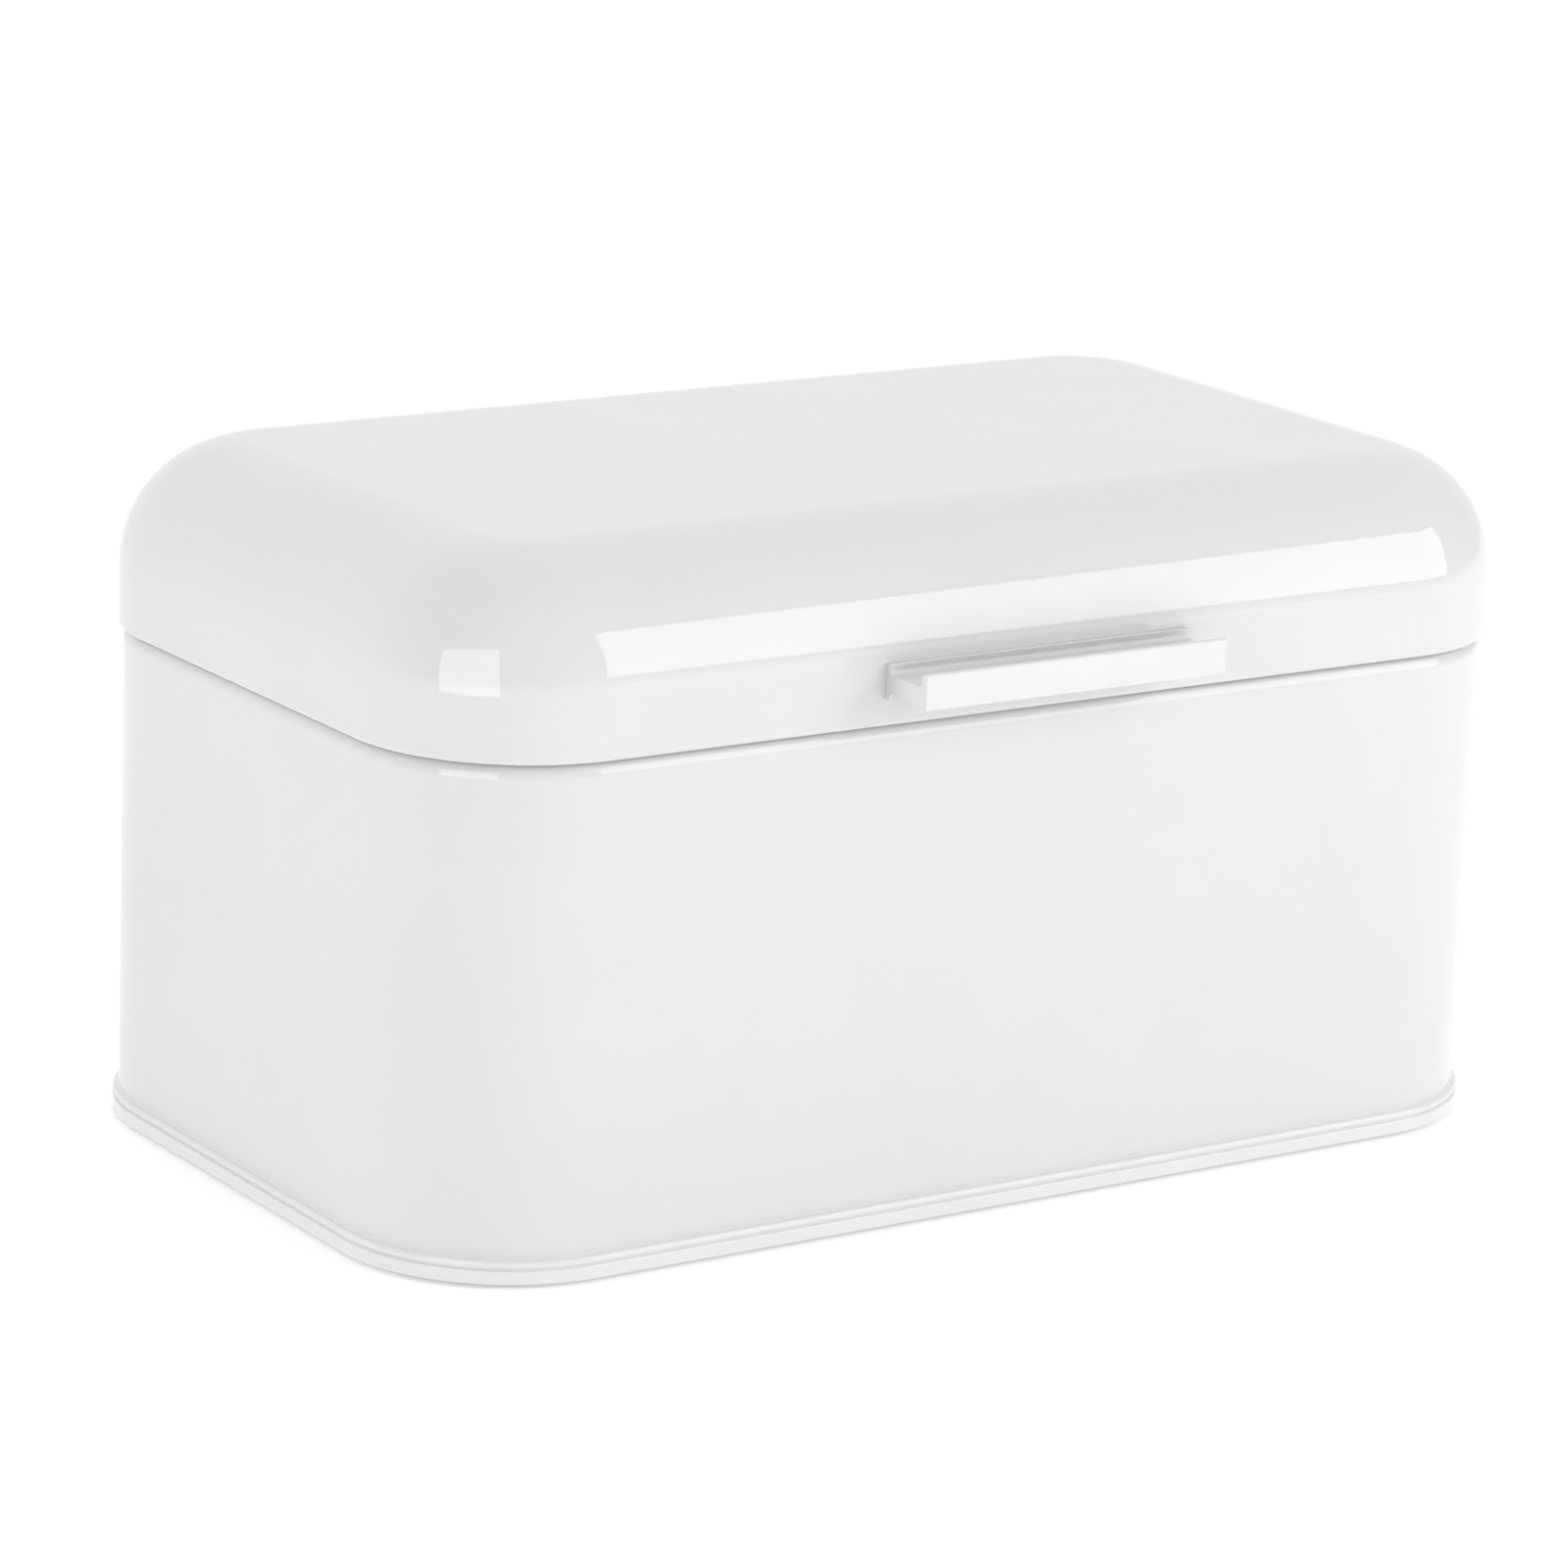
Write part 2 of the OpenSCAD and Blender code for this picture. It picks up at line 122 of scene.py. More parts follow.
LID_ROOT_H = 3
LID_BEND_GAP = 0.3
OUTER_KNUCKLE_L = 11
INNER_KNUCKLE_L = 17.2
KNUCKLE_R = 2.46
BODY_BORE_R = 1.3
LID_BORE_R = 1.36
KNUCKLE_END = -118
HEEL_L = 5.2
HEEL_T = 1
HEEL_EDGE_R = 0.2
HEEL_CLEARANCE = 0.08
OPEN_ANGLE = 100
SCREW_PITCH = 64
SCREW_D = 3
SCREW_HOLE_D = 3.4
SCREW_BORE_DEPTH = 7.7
SCREW_TIP_BEVEL = 0.3
SCREW_HEAD_D = 5.6
SCREW_HEAD_H = 2
SCREW_DOME_R = 1.1
WASHER_D = 9
WASHER_T = 0.8
WASHER_BEVEL = 0.15
FOOT_D = 12
FOOT_EDGE_R = 0.8

CENTRE_Y = (LID_LOW.y + LID_HIGH.y) / 2
HALF_W = LID_HIGH.x - LID_OVERHANG
HALF_D = (LID_HIGH.y - LID_LOW.y) / 2 - LID_OVERHANG
COLLAR_TOP_Z = WALL_HIGH.z
SHOULDER_Z = COLLAR_TOP_Z - COLLAR_H
LID_TOP_Z = LID_HIGH.z
HEM_Z = LID_LOW.z + HEM_R
BASE_Z = RIM_Z + BASE_RISE
WALL_Y = CENTRE_Y + HALF_D
LID_Y = WALL_Y + LID_OVERHANG
LID_FRONT_Y = CENTRE_Y - HALF_D - LID_OVERHANG
VENT_Z = SHOULDER_Z - VENT_DROP
RIVET_XS = (-RIVET_PITCH / 2, RIVET_PITCH / 2)
SCREW_XS = (-SCREW_PITCH / 2, SCREW_PITCH / 2)


# ---------- sections ----------

def arc(x, y, r, start, end, step=7.5):
    """Points on a circle about (x, y) from start to end, in degrees."""
    steps = max(2, math.ceil(abs(end - start) / step))
    angles = [math.radians(start + (end - start) * i / steps) for i in range(steps + 1)]
    return [(x + r * math.cos(a), y + r * math.sin(a)) for a in angles]


def rounded(corners, step=10):
    """Closed outline through corners (x, y, radius), each rounded off by its radius."""
    points = []
    for i, (x, y, r) in enumerate(corners):
        here = Vector((x, y))
        if not r:
            points.append((x, y))
            continue
        back = (Vector(corners[i - 1][:2]) - here).normalized()
        ahead = (Vector(corners[(i + 1) % len(corners)][:2]) - here).normalized()
        half = back.angle(ahead) / 2
        centre = here + (back + ahead).normalized() * r / math.sin(half)
        spoke = here + back * r / math.tan(half) - centre
        turn = math.degrees(spoke.angle_signed(here + ahead * r / math.tan(half) - centre))
        start = math.degrees(math.atan2(spoke.y, spoke.x))
        points += arc(centre.x, centre.y, r, start, start - turn, step)
    return points


def wall_section():
    """Wall, shoulder and beaded collar: x outwards from the wall's outer face, y up."""
    curve_z = SHOULDER_Z - SHOULDER_R
    bend_x = COLLAR_BEND_R - COLLAR_INSET
    bend_z = SHOULDER_Z + COLLAR_BEND_R
    bead_z = COLLAR_TOP_Z - BEAD_R
    bead_join = math.degrees(math.acos((BEAD_R - SHEET) / BEAD_R))
    foot_z = WALL_LOW.z
    outside = [(0, foot_z)]
    outside += arc(-SHOULDER_R, curve_z, SHOULDER_R, 0, 90, step=5)
    outside += arc(bend_x, bend_z, COLLAR_BEND_R, 270, 180, step=15)
    outside += arc(-COLLAR_INSET - BEAD_R, bead_z, BEAD_R, 0, 360 - bead_join, step=15)
    inside = arc(bend_x, bend_z, COLLAR_BEND_R + SHEET, 180, 270, step=15)
    inside += arc(-SHOULDER_R, curve_z, SHOULDER_R - SHEET, 90, 0, step=10)
    inside += [(-SHEET, foot_z)]
    return outside + inside


def lid_section():
    """Lid from its outer top, down the outside, round the hem and up to its inner top."""
    curve_x = LID_OVERHANG - LID_CURVE_R
    curve_z = LID_TOP_Z - LID_CURVE_R
    hem_x = LID_OVERHANG - HEM_R
    hem_join = math.degrees(math.acos((HEM_R - SHEET) / HEM_R))
    outside = arc(curve_x, curve_z, LID_CURVE_R, 90, 0, step=2.5)
    hem = arc(hem_x, HEM_Z, HEM_R, 0, hem_join - 360, step=15)
    inside = arc(curve_x, curve_z, LID_CURVE_R - SHEET, 0, 90, step=3)
    return outside + hem + inside


def base_section():
    """Base from its upper panel out to the two-round rim and back under the panel."""
    step_x = -STEP_INSET - 2 * STEP_H
    round_z = RIM_Z + RIM_H - RIM_ROUND_R
    band_z = RIM_Z + RIM_BAND_H
    round_end = math.degrees(math.acos((RIM_NECK - RIM_ROUND_X) / RIM_ROUND_R))
    edge_r = 0.5
    edge_x = RIM_PROUD - edge_r
    top = [(step_x, BASE_Z + STEP_H), (-STEP_INSET, BASE_Z), (-SHEET, BASE_Z)]
    slot = [(-SHEET, RIM_Z + SHEET), (0, RIM_Z + SHEET)]
    rim = [(0, RIM_Z + RIM_H + RIM_FILLET)]
    rim += arc(RIM_ROUND_X, round_z, RIM_ROUND_R, 90, -round_end, step=10)
    rim += [(RIM_NECK, band_z)]
    rim += arc(edge_x, band_z - edge_r, edge_r, 90, 0, step=15)
    rim += arc(edge_x, RIM_Z + edge_r, edge_r, 0, -90, step=15)
    under = [(-2 * SHEET, RIM_Z), (-2 * SHEET, BASE_Z - SHEET)]
    under += [(-STEP_INSET, BASE_Z - SHEET), (step_x, BASE_Z + STEP_H - SHEET)]
    return top + slot + rim + under


def handle_section():
    """Bar handle: x outwards from the lid, y up from the handle's lower edge."""
    depth = LID_FRONT_Y - BAR_LOW.y
    flange_t = 1.8
    flange_h = 8
    web_low = 1.4
    web_high = 5.6
    grip_x = depth - 2
    grip_low = 0.5
    grip_high = 8.6
    blend_r = 1.2
    under_r = web_low - grip_low
    hair = 0.01
    edge_r = 0.6
    crisp_r = 0.15
    return rounded([
        (0, 0, 0),
        (flange_t, 0, crisp_r),
        (flange_t, web_low, under_r),
        (grip_x, web_low, under_r - hair),
        (grip_x, grip_low, 0),
        (depth, grip_low, edge_r),
        (depth, grip_high, edge_r),
        (grip_x, grip_high, edge_r),
        (grip_x, web_high, blend_r),
        (flange_t, web_high, blend_r),
        (flange_t, flange_h, crisp_r),
        (0, flange_h, 0),
    ])


# ---------- mesh code ----------

SHARP_ANGLE = math.radians(28)
FLAT_ANGLE = math.radians(0.5)
TINY = 1e-4


def finish(bm, name, body, slot, nodes):
    """Turns a mesh in millimetres into a piece on its body, in place of its CAD nodes."""
    bmesh.ops.recalc_face_normals(bm, faces=bm.faces)
    for face in bm.faces:
        face.smooth = True
    for edge in bm.edges:
        edge.smooth = edge.calc_face_angle(math.pi) < SHARP_ANGLE
    bmesh.ops.scale(bm, vec=(MM, MM, MM), verts=bm.verts)
    mesh = bpy.data.meshes.new(name)
    bm.to_mesh(mesh)
    bm.free()
    piece = bpy.data.objects.new(name, mesh)
    bpy.context.scene.collection.objects.link(piece)
    mesh.materials.append(MATERIALS[slot])
    even = piece.modifiers.new("flat faces stay flat", "WEIGHTED_NORMAL")
    even.keep_sharp = True
    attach(piece, body)
    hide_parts(*nodes)


def sweep(section, closed, corner_steps=24):
    """Sweeps a section round the body's outline. An open section is closed by flat panels."""
    bm = bmesh.new()
    rings = []
    for turn in range(4):
        centre_x = (HALF_W - CORNER_R) * (1, -1, -1, 1)[turn]
        centre_y = (HALF_D - CORNER_R) * (1, 1, -1, -1)[turn] + CENTRE_Y
        for i in range(corner_steps + 1):
            angle = math.radians(90 * (turn + i / corner_steps))
            ray = Vector((math.cos(angle), math.sin(angle), 0))
            rings.append([
                bm.verts.new(Vector((centre_x, centre_y, z)) + ray * (CORNER_R + x))
                for x, z in section
            ])
    last = len(section) if closed else len(section) - 1
    for ring, after in zip(rings, rings[1:] + rings[:1]):
        for i in range(last):
            j = (i + 1) % len(section)
            bm.faces.new((ring[i], after[i], after[j], ring[j]))
    if not closed:
        bm.faces.new([ring[0] for ring in rings])
        bm.faces.new([ring[-1] for ring in reversed(rings)])
    return bm


def prism(outline, place, low, high):
    """Solid from an outline (u, v); place turns (u, v, w) into a point, w from low to high."""
    bm = bmesh.new()
    ends = [[bm.verts.new(place(u, v, w)) for u, v in outline] for w in (low, high)]
    bm.faces.new(ends[0])
    bm.faces.new(list(reversed(ends[1])))
    for i in range(len(outline)):
        j = (i + 1) % len(outline)
        bm.faces.new((ends[0][j], ends[0][i], ends[1][i], ends[1][j]))
    bmesh.ops.recalc_face_normals(bm, faces=bm.faces)
    return bm


def lathe(profile, centre, axis, steps=48):
    """Solid of revolution: profile (radius, along) about axis, from centre.

    A profile that starts off the axis closes on itself as a ring.
    """
    bm = bmesh.new()
    tilt = Vector((0, 0, 1)).rotation_difference(Vector(axis)).to_matrix()
    rings = []
    for radius, along in profile:
        if radius < TINY:
            rings.append([bm.verts.new(Vector(centre) + tilt @ Vector((0, 0, along)))])
            continue
        angles = [2 * math.pi * i / steps for i in range(steps)]
        ring = [Vector((radius * math.cos(a), radius * math.sin(a), along)) for a in angles]
        rings.append([bm.verts.new(Vector(centre) + tilt @ point) for point in ring])
    if len(rings[0]) > 1:
        rings.append(rings[0])
    for ring, after in zip(rings, rings[1:]):
        for i in range(steps):
            j = (i + 1) % steps
            if len(ring) == 1:
                bm.faces.new((ring[0], after[i], after[j]))
            elif len(after) == 1:
                bm.faces.new((ring[i], after[0], ring[j]))
            else:
                bm.faces.new((ring[i], after[i], after[j], ring[j]))
    bmesh.ops.recalc_face_normals(bm, faces=bm.faces)
    return bm


def disc(centre, axis, diameter, length):
    """Plain round cutter, starting at centre."""
    r = diameter / 2
    return lathe([(0, 0), (r, 0), (r, length), (0, length)], centre, axis, steps=40)


def cutters(xs, y, z, diameter, reach=4):
    """Round cutters along Y at each x, reaching as far in front of y as behind it."""
    return [disc((x, y - reach, z), (0, 1, 0), diameter, 2 * reach) for x in xs]


def combined(bm, others, operation):
    """Adds the other solids to bm, or cuts them out of it. All are used up."""
    def scratch(solid):
        mesh = bpy.data.meshes.new("scratch")
        solid.to_mesh(mesh)
        solid.free()
        thing = bpy.data.objects.new("scratch", mesh)
        bpy.context.scene.collection.objects.link(thing)
        return thing

    target = scratch(bm)
    tools = [scratch(other) for other in others]
    for tool in tools:
        step = target.modifiers.new("step", "BOOLEAN")
        step.operation = operation
        step.solver = "EXACT"
        step.object = tool
    evaluated = target.evaluated_get(bpy.context.evaluated_depsgraph_get())
    result = bmesh.new()
    result.from_mesh(evaluated.to_mesh())
    evaluated.to_mesh_clear()
    for thing in [target] + tools:
        mesh = thing.data
        bpy.data.objects.remove(thing)
        bpy.data.meshes.remove(mesh)
    bmesh.ops.remove_doubles(result, verts=result.verts, dist=TINY)
    return result


def joined(solids):
    """Several separate solids in one mesh."""
    bm = bmesh.new()
    for solid in solids:
        mesh = bpy.data.meshes.new("scratch")
        solid.to_mesh(mesh)
        solid.free()
        bm.from_mesh(mesh)
        bpy.data.meshes.remove(mesh)
    return bm


def soften(bm, width, chosen=lambda edge: True):
    """Rounds the sharp edges, or only those for which chosen(edge) is true."""
    bmesh.ops.dissolve_limit(bm, angle_limit=FLAT_ANGLE, verts=bm.verts, edges=bm.edges)
    edges = [e for e in bm.edges if e.calc_face_angle(0) > SHARP_ANGLE and chosen(e)]
    bmesh.ops.bevel(
        bm, geom=edges, offset=width, segments=2, profile=0.5, affect="EDGES", clamp_overlap=True)
    return bm


# ---------- materials ----------

def shader(tree, kind, **values):
    """New node of a kind, with the named input values."""
    item = tree.nodes.new("ShaderNode" + kind)
    for name, value in values.items():
        item.inputs[name.replace("_", " ")].default_value = value
    return item


def coordinates(tree, scale):
    """The piece's own coordinates, scaled by (x, y, z)."""
    place = shader(tree, "TexCoord")
    mapping = shader(tree, "Mapping", Scale=scale)
    tree.links.new(place.outputs["Object"], mapping.inputs["Vector"])
    return mapping.outputs["Vector"]


def noise(tree, wavelength, detail, stretch=(1, 1, 1)):
    """Noise with the wavelength in millimetres, as a value round 0.5."""
    scale = [1 / (wavelength * MM * s) for s in stretch]
    texture = shader(tree, "TexNoise", Scale=1, Detail=detail)
    tree.links.new(coordinates(tree, scale), texture.inputs["Vector"])
    return texture.outputs["Fac"]


def between(tree, value, low, high, from_low=0.3, from_high=0.7):
    """Maps a value between from_low and from_high to the range from low to high."""
    item = shader(
        tree, "MapRange", From_Min=from_low, From_Max=from_high, To_Min=low, To_Max=high)
    tree.links.new(value, item.inputs["Value"])
    return item.outputs["Result"]


def tinted(tree, value, first, second):
    """Colour between first and second, by a noise value."""
    ramp = tree.nodes.new("ShaderNodeValToRGB")
    ramp.color_ramp.elements[0].position = 0.3
    ramp.color_ramp.elements[0].color = (*first, 1)
    ramp.color_ramp.elements[1].position = 0.7
    ramp.color_ramp.elements[1].color = (*second, 1)
    tree.links.new(value, ramp.inputs["Fac"])
    return ramp.outputs["Color"]


def painted_corner_shade(tree, colour, reach, depth):
    """Painted shade: darkens a colour by up to depth (0 to 1) where faces within reach (mm) stand
    close.
    """
    shade = shader(tree, "AmbientOcclusion", Distance=reach * MM)
    shade.samples = 8
    kept = between(tree, shade.outputs["AO"], 1 - depth, 1, 0.25, 0.85)
    mixed = tree.nodes.new("ShaderNodeVectorMath")
    mixed.operation = "SCALE"
    tree.links.new(colour, mixed.inputs[0])
    tree.links.new(kept, mixed.inputs["Scale"])
    return mixed.outputs["Vector"]


def relief(tree, layers):
    """Bump from (noise value, height in millimetres) layers, one on another."""
    normal = None
    for value, height in layers:
        bump = shader(tree, "Bump", Strength=1, Distance=height * MM)
        tree.links.new(value, bump.inputs["Height"])
        if normal:
            tree.links.new(normal, bump.inputs["Normal"])
        normal = bump.outputs["Normal"]
    return normal


def material(name, colour, roughness, normal, **fixed):
    """Principled material. colour, roughness and normal are functions of the node tree."""
    made = bpy.data.materials.new(name)
    made.use_nodes = True
    tree = made.node_tree
    surface = tree.nodes["Principled BSDF"]
    for socket, value in fixed.items():
        surface.inputs[socket.replace("_", " ")].default_value = value
    tree.links.new(colour(tree), surface.inputs["Base Color"])
    tree.links.new(roughness(tree), surface.inputs["Roughness"])
    tree.links.new(normal(tree), surface.inputs["Normal"])
    return made


def enamel(name, light, dark, waves):
    """Gloss white powder coat: even colour, fine orange peel and slow waves (mm) in the sheet."""
    return material(
        name,
        lambda tree: tinted(tree, noise(tree, 40, 4), dark, light),
        lambda tree: between(tree, noise(tree, 12, 5), 0.035, 0.06),
        lambda tree: relief(tree, [
            (noise(tree, 70, 1), waves),
            (noise(tree, 2.4, 3), 0.004),
            (noise(tree, 0.35, 1), 0.0004),
        ]),
        IOR=1.5,
    )


def metal(name, light, dark, smooth, rough, stretch):
    """Plain metal, smooth to rough, with its fine texture stretched along (x, y, z)."""
    return material(
        name,
        lambda tree: tinted(tree, noise(tree, 1.5, 4), dark, light),
        lambda tree: between(tree, noise(tree, 0.8, 5, stretch), smooth, rough),
        lambda tree: relief(tree, [(noise(tree, 0.25, 4, stretch), 0.003)]),
        Metallic=1,
    )


def satin(name, light, dark):
    """Satin white coat on an extrusion, brushed along its length, with painted shade darkening
    its colour in its corners.
    """
    return material(
        name,
        lambda tree: painted_corner_shade(
            tree, tinted(tree, noise(tree, 9, 4), dark, light), reach=14, depth=0.45),
        lambda tree: between(tree, noise(tree, 0.5, 4, (60, 1, 1)), 0.29, 0.33),
        lambda tree: relief(tree, [(noise(tree, 0.3, 4, (200, 1, 1)), 0.002)]),
        IOR=1.5,
    )


def rubber(name, light, dark):
    """Matt rubber with a fine grain."""
    return material(
        name,
        lambda tree: tinted(tree, noise(tree, 2, 5), dark, light),
        lambda tree: between(tree, noise(tree, 0.6, 4), 0.6, 0.8),
        lambda tree: relief(tree, [(noise(tree, 0.3, 4), 0.01)]),
    )


def grey(value):
    """Colour with the same red, green and blue."""
    return (value, value, value)


WHITE = grey(0.715)
WHITE_SHADE = grey(0.7)
ZINC = (0.66, 0.68, 0.7)
ZINC_SHADE = (0.56, 0.58, 0.6)
OFF_WHITE = (0.68, 0.68, 0.65)
OFF_WHITE_SHADE = (0.6, 0.6, 0.57)

MATERIALS = {
    "body_enamel": enamel("body_enamel", WHITE, WHITE_SHADE, waves=0.05),
    # Painted light: the base's enamel is a lighter grey than the wall's, to brighten the rim.
    "base_enamel": enamel("base_enamel", grey(0.77), grey(0.755), waves=0.02),
    "lid_enamel": enamel("lid_enamel", WHITE, WHITE_SHADE, waves=0.05),
    "hinge_enamel": enamel("hinge_enamel", WHITE, WHITE_SHADE, waves=0),
    "rivet_enamel": enamel("rivet_enamel", WHITE, WHITE_SHADE, waves=0),
    # The handle's material darkens its colour with painted shade in its channel and corners.
    "handle_finish": satin("handle_finish", grey(0.77), grey(0.74)),
    "zinc_screws": metal("zinc_screws", ZINC, ZINC_SHADE, 0.25, 0.4, stretch=(1, 1, 1)),
    "pin_steel": metal("pin_steel", grey(0.6), grey(0.5), 0.22, 0.38, stretch=(30, 1, 1)),
    "foot_rubber": rubber("foot_rubber", OFF_WHITE, OFF_WHITE_SHADE),
}


# ---------- body and base ----------

def hinge_x(sign):
    """Middle of the left (-1) or right (1) hinge."""
    return sign * HINGE_PITCH / 2


def rivet_holes(y, z):
    """Cutters for the rivets of both hinges through a shell's back at y."""
    return cutters([hinge_x(sign) + x for sign in (-1, 1) for x in RIVET_XS], y, z, RIVET_D)


def back_seam():
    """Folded lock seam up the back: a flat strip with rounded edges."""
    low = RIM_Z + RIM_H + RIM_FILLET + SEAM_FOOT_GAP
    high = SHOULDER_Z - SHOULDER_R - SEAM_TOP_GAP
    edge_r = SEAM_T * 0.8
    half = SEAM_W / 2
    across = rounded([
        (-half, -SEAM_SUNK, 0),
        (half, -SEAM_SUNK, 0),
        (half, SEAM_T, edge_r),
        (-half, SEAM_T, edge_r),
    ])
    return prism(across, lambda u, v, w: (u, WALL_Y + v, w), low, high)


def make_body():
    """Body wall with its seam and holes, and the seamed base."""
    wall = combined(sweep(wall_section(), closed=True), [back_seam()], "UNION")
    vents = cutters([sign * x for sign in (-1, 1) for x in VENT_XS], WALL_Y, VENT_Z, VENT_D)
    wall = combined(wall, vents + rivet_holes(WALL_Y, BODY_RIVET_Z), "DIFFERENCE")
    finish(wall, "enamelled_wall", "body", "body_enamel", ["body_shell"])
    base = sweep(base_section(), closed=False)
    finish(base, "seamed_base", "body", "base_enamel", ["base_panel"])


def make_feet():
    """Four round rubber feet."""
    for node in ("foot_front_left", "foot_front_right", "foot_rear_left", "foot_rear_right"):
        low, high = box_mm(node)
        r = FOOT_D / 2
        profile = [(0, 0)]
        profile += arc(r - FOOT_EDGE_R, FOOT_EDGE_R, FOOT_EDGE_R, -90, 0, step=15)
        profile += [(r, high.z), (0, high.z)]
        foot = lathe(profile, ((low.x + high.x) / 2, (low.y + high.y) / 2, 0), (0, 0, 1))
        finish(foot, "rubber_" + node, "body", "foot_rubber", [node])


# ---------- lid and handle ----------

def make_lid():
    """Lid with its screw and rivet holes."""
    holes = cutters(SCREW_XS, LID_FRONT_Y, SCREW_Z, SCREW_HOLE_D, reach=2)
    holes += rivet_holes(LID_Y, LID_RIVET_Z)
    lid = combined(sweep(lid_section(), closed=False), holes, "DIFFERENCE")
    finish(lid, "enamelled_lid", "lid", "lid_enamel", ["lid_shell"])


def make_handle():
    """Bar handle with softened ends and two blind screw bores."""
    def place(u, v, w):
        return (w, LID_FRONT_Y - u, BAR_LOW.z + v)

    def lies_across(edge):
        return abs(edge.verts[0].co.x - edge.verts[1].co.x) < TINY

    end_edge_r = 0.15
    lead = 1
    bar = prism(handle_section(), place, BAR_LOW.x, BAR_HIGH.x)
    bar = soften(bar, end_edge_r, lies_across)
    bores = [
        disc((x, LID_FRONT_Y + lead, SCREW_Z), (0, -1, 0), SCREW_D, lead + SCREW_BORE_DEPTH)
        for x in SCREW_XS
    ]
    bar = combined(bar, bores, "DIFFERENCE")
    finish(bar, "bar_handle", "lid", "handle_finish", ["handle_bar"])


def cross_recess(x, y):
    """Cutters for a tapered cross in a screw head, from just outside y towards the front."""
    half_l = 1.5
    half_w = 0.45
    levels = ((0.3, 1.05), (-1.2, 0.55))  # place along the screw and scale of the cross
    blades = []
    for turn in (0, 90):
        spin = Matrix.Rotation(math.radians(turn), 3, "Y")
        bm = bmesh.new()
        rings = []
        for along, scale in levels:
            u = half_l * scale
            v = half_w * scale
            corners = [(-u, along, -v), (u, along, -v), (u, along, v), (-u, along, v)]
            rings.append([
                bm.verts.new(Vector((x, y, SCREW_Z)) + spin @ Vector(corner))
                for corner in corners
            ])
        bm.faces.new(rings[0])
        bm.faces.new(list(reversed(rings[1])))
        for i in range(4):
            j = (i + 1) % 4
            bm.faces.new((rings[0][i], rings[1][i], rings[1][j], rings[0][j]))
        bmesh.ops.recalc_face_normals(bm, faces=bm.faces)
        blades.append(bm)
    return blades


def make_screws():
    """Two screws from inside the lid, each with a washer under its head."""
    seat_y = LID_FRONT_Y + SHEET
    head_y = seat_y + WASHER_T
    head_r = SCREW_HEAD_D / 2
    shank_r = SCREW_D / 2
    tip = SCREW_TIP_Y - head_y
    screw_profile = [
        (0, tip),
        (shank_r - SCREW_TIP_BEVEL, tip),
        (shank_r, tip + SCREW_TIP_BEVEL),
        (shank_r, 0),
        (head_r, 0),
    ]
    dome_x = head_r - SCREW_DOME_R
    dome_y = SCREW_HEAD_H - SCREW_DOME_R
    screw_profile += arc(dome_x, dome_y, SCREW_DOME_R, 0, 90, step=15)
    screw_profile += [(0, SCREW_HEAD_H)]
    washer_r = WASHER_D / 2
    hole_r = SCREW_HOLE_D / 2
    washer_profile = [
        (hole_r, 0),
        (washer_r, 0),
        (washer_r, WASHER_T - WASHER_BEVEL),
        (washer_r - WASHER_BEVEL, WASHER_T),
        (hole_r, WASHER_T),
    ]
    screws = []
    washers = []
    for x in SCREW_XS:
        screw = lathe(screw_profile, (x, head_y, SCREW_Z), (0, 1, 0))
        screws.append(combined(screw, cross_recess(x, head_y + SCREW_HEAD_H), "DIFFERENCE"))
        washers.append(lathe(washer_profile, (x, seat_y, SCREW_Z), (0, 1, 0)))
    finish(joined(screws), "zinc_screw_pair", "lid", "zinc_screws", ["handle_screws"])
    finish(joined(washers), "zinc_washer_pair", "lid", "zinc_screws", ["handle_washers"])


# ---------- hinges ----------

def leaf_plate(middle, face_y, free_z, barrel_z):
    """Flat of a leaf with rounded free corners, between free_z and the barrel side."""
    left = middle - HINGE_L / 2
    right = middle + HINGE_L / 2
    outline = rounded([
        (left, free_z, LEAF_CORNER_R),
        (right, free_z, LEAF_CORNER_R),
        (right, barrel_z, 0),
        (left, barrel_z, 0),
    ])
    return prism(outline, lambda u, v, w: (u, w, v), face_y, face_y + LEAF_T)


def rolled_knuckle(leaf_y, root_z, bend_gap, bore_r, middle, length):
    """Strip of a leaf that steps out to the barrel and rolls round the pin, short of closing.

    The step ends bend_gap short of the barrel, seen from root_z.
    """
    up = 1 if root_z < PIVOT_Z else -1
    root = (root_z - PIVOT_Z) * up
    leaf = leaf_y - PIVOT_Y
    bend = -KNUCKLE_R - bend_gap
    thinning = 0.1
    outer = [(leaf, root), (leaf, bend - LEAF_BEND_H), (-KNUCKLE_R, bend)]
    outer += arc(0, 0, KNUCKLE_R, 180, KNUCKLE_END, step=12)
    inner = arc(0, 0, bore_r, KNUCKLE_END, 180, step=15)
    inner += [
        (-bore_r, bend + thinning),
        (leaf + LEAF_T, bend - LEAF_BEND_H - thinning),
        (leaf + LEAF_T, root),
    ]

    def place(u, v, w):
        return (w, PIVOT_Y + u, PIVOT_Z + v * up)

    return prism(outer + inner, place, middle - length / 2, middle + length / 2)


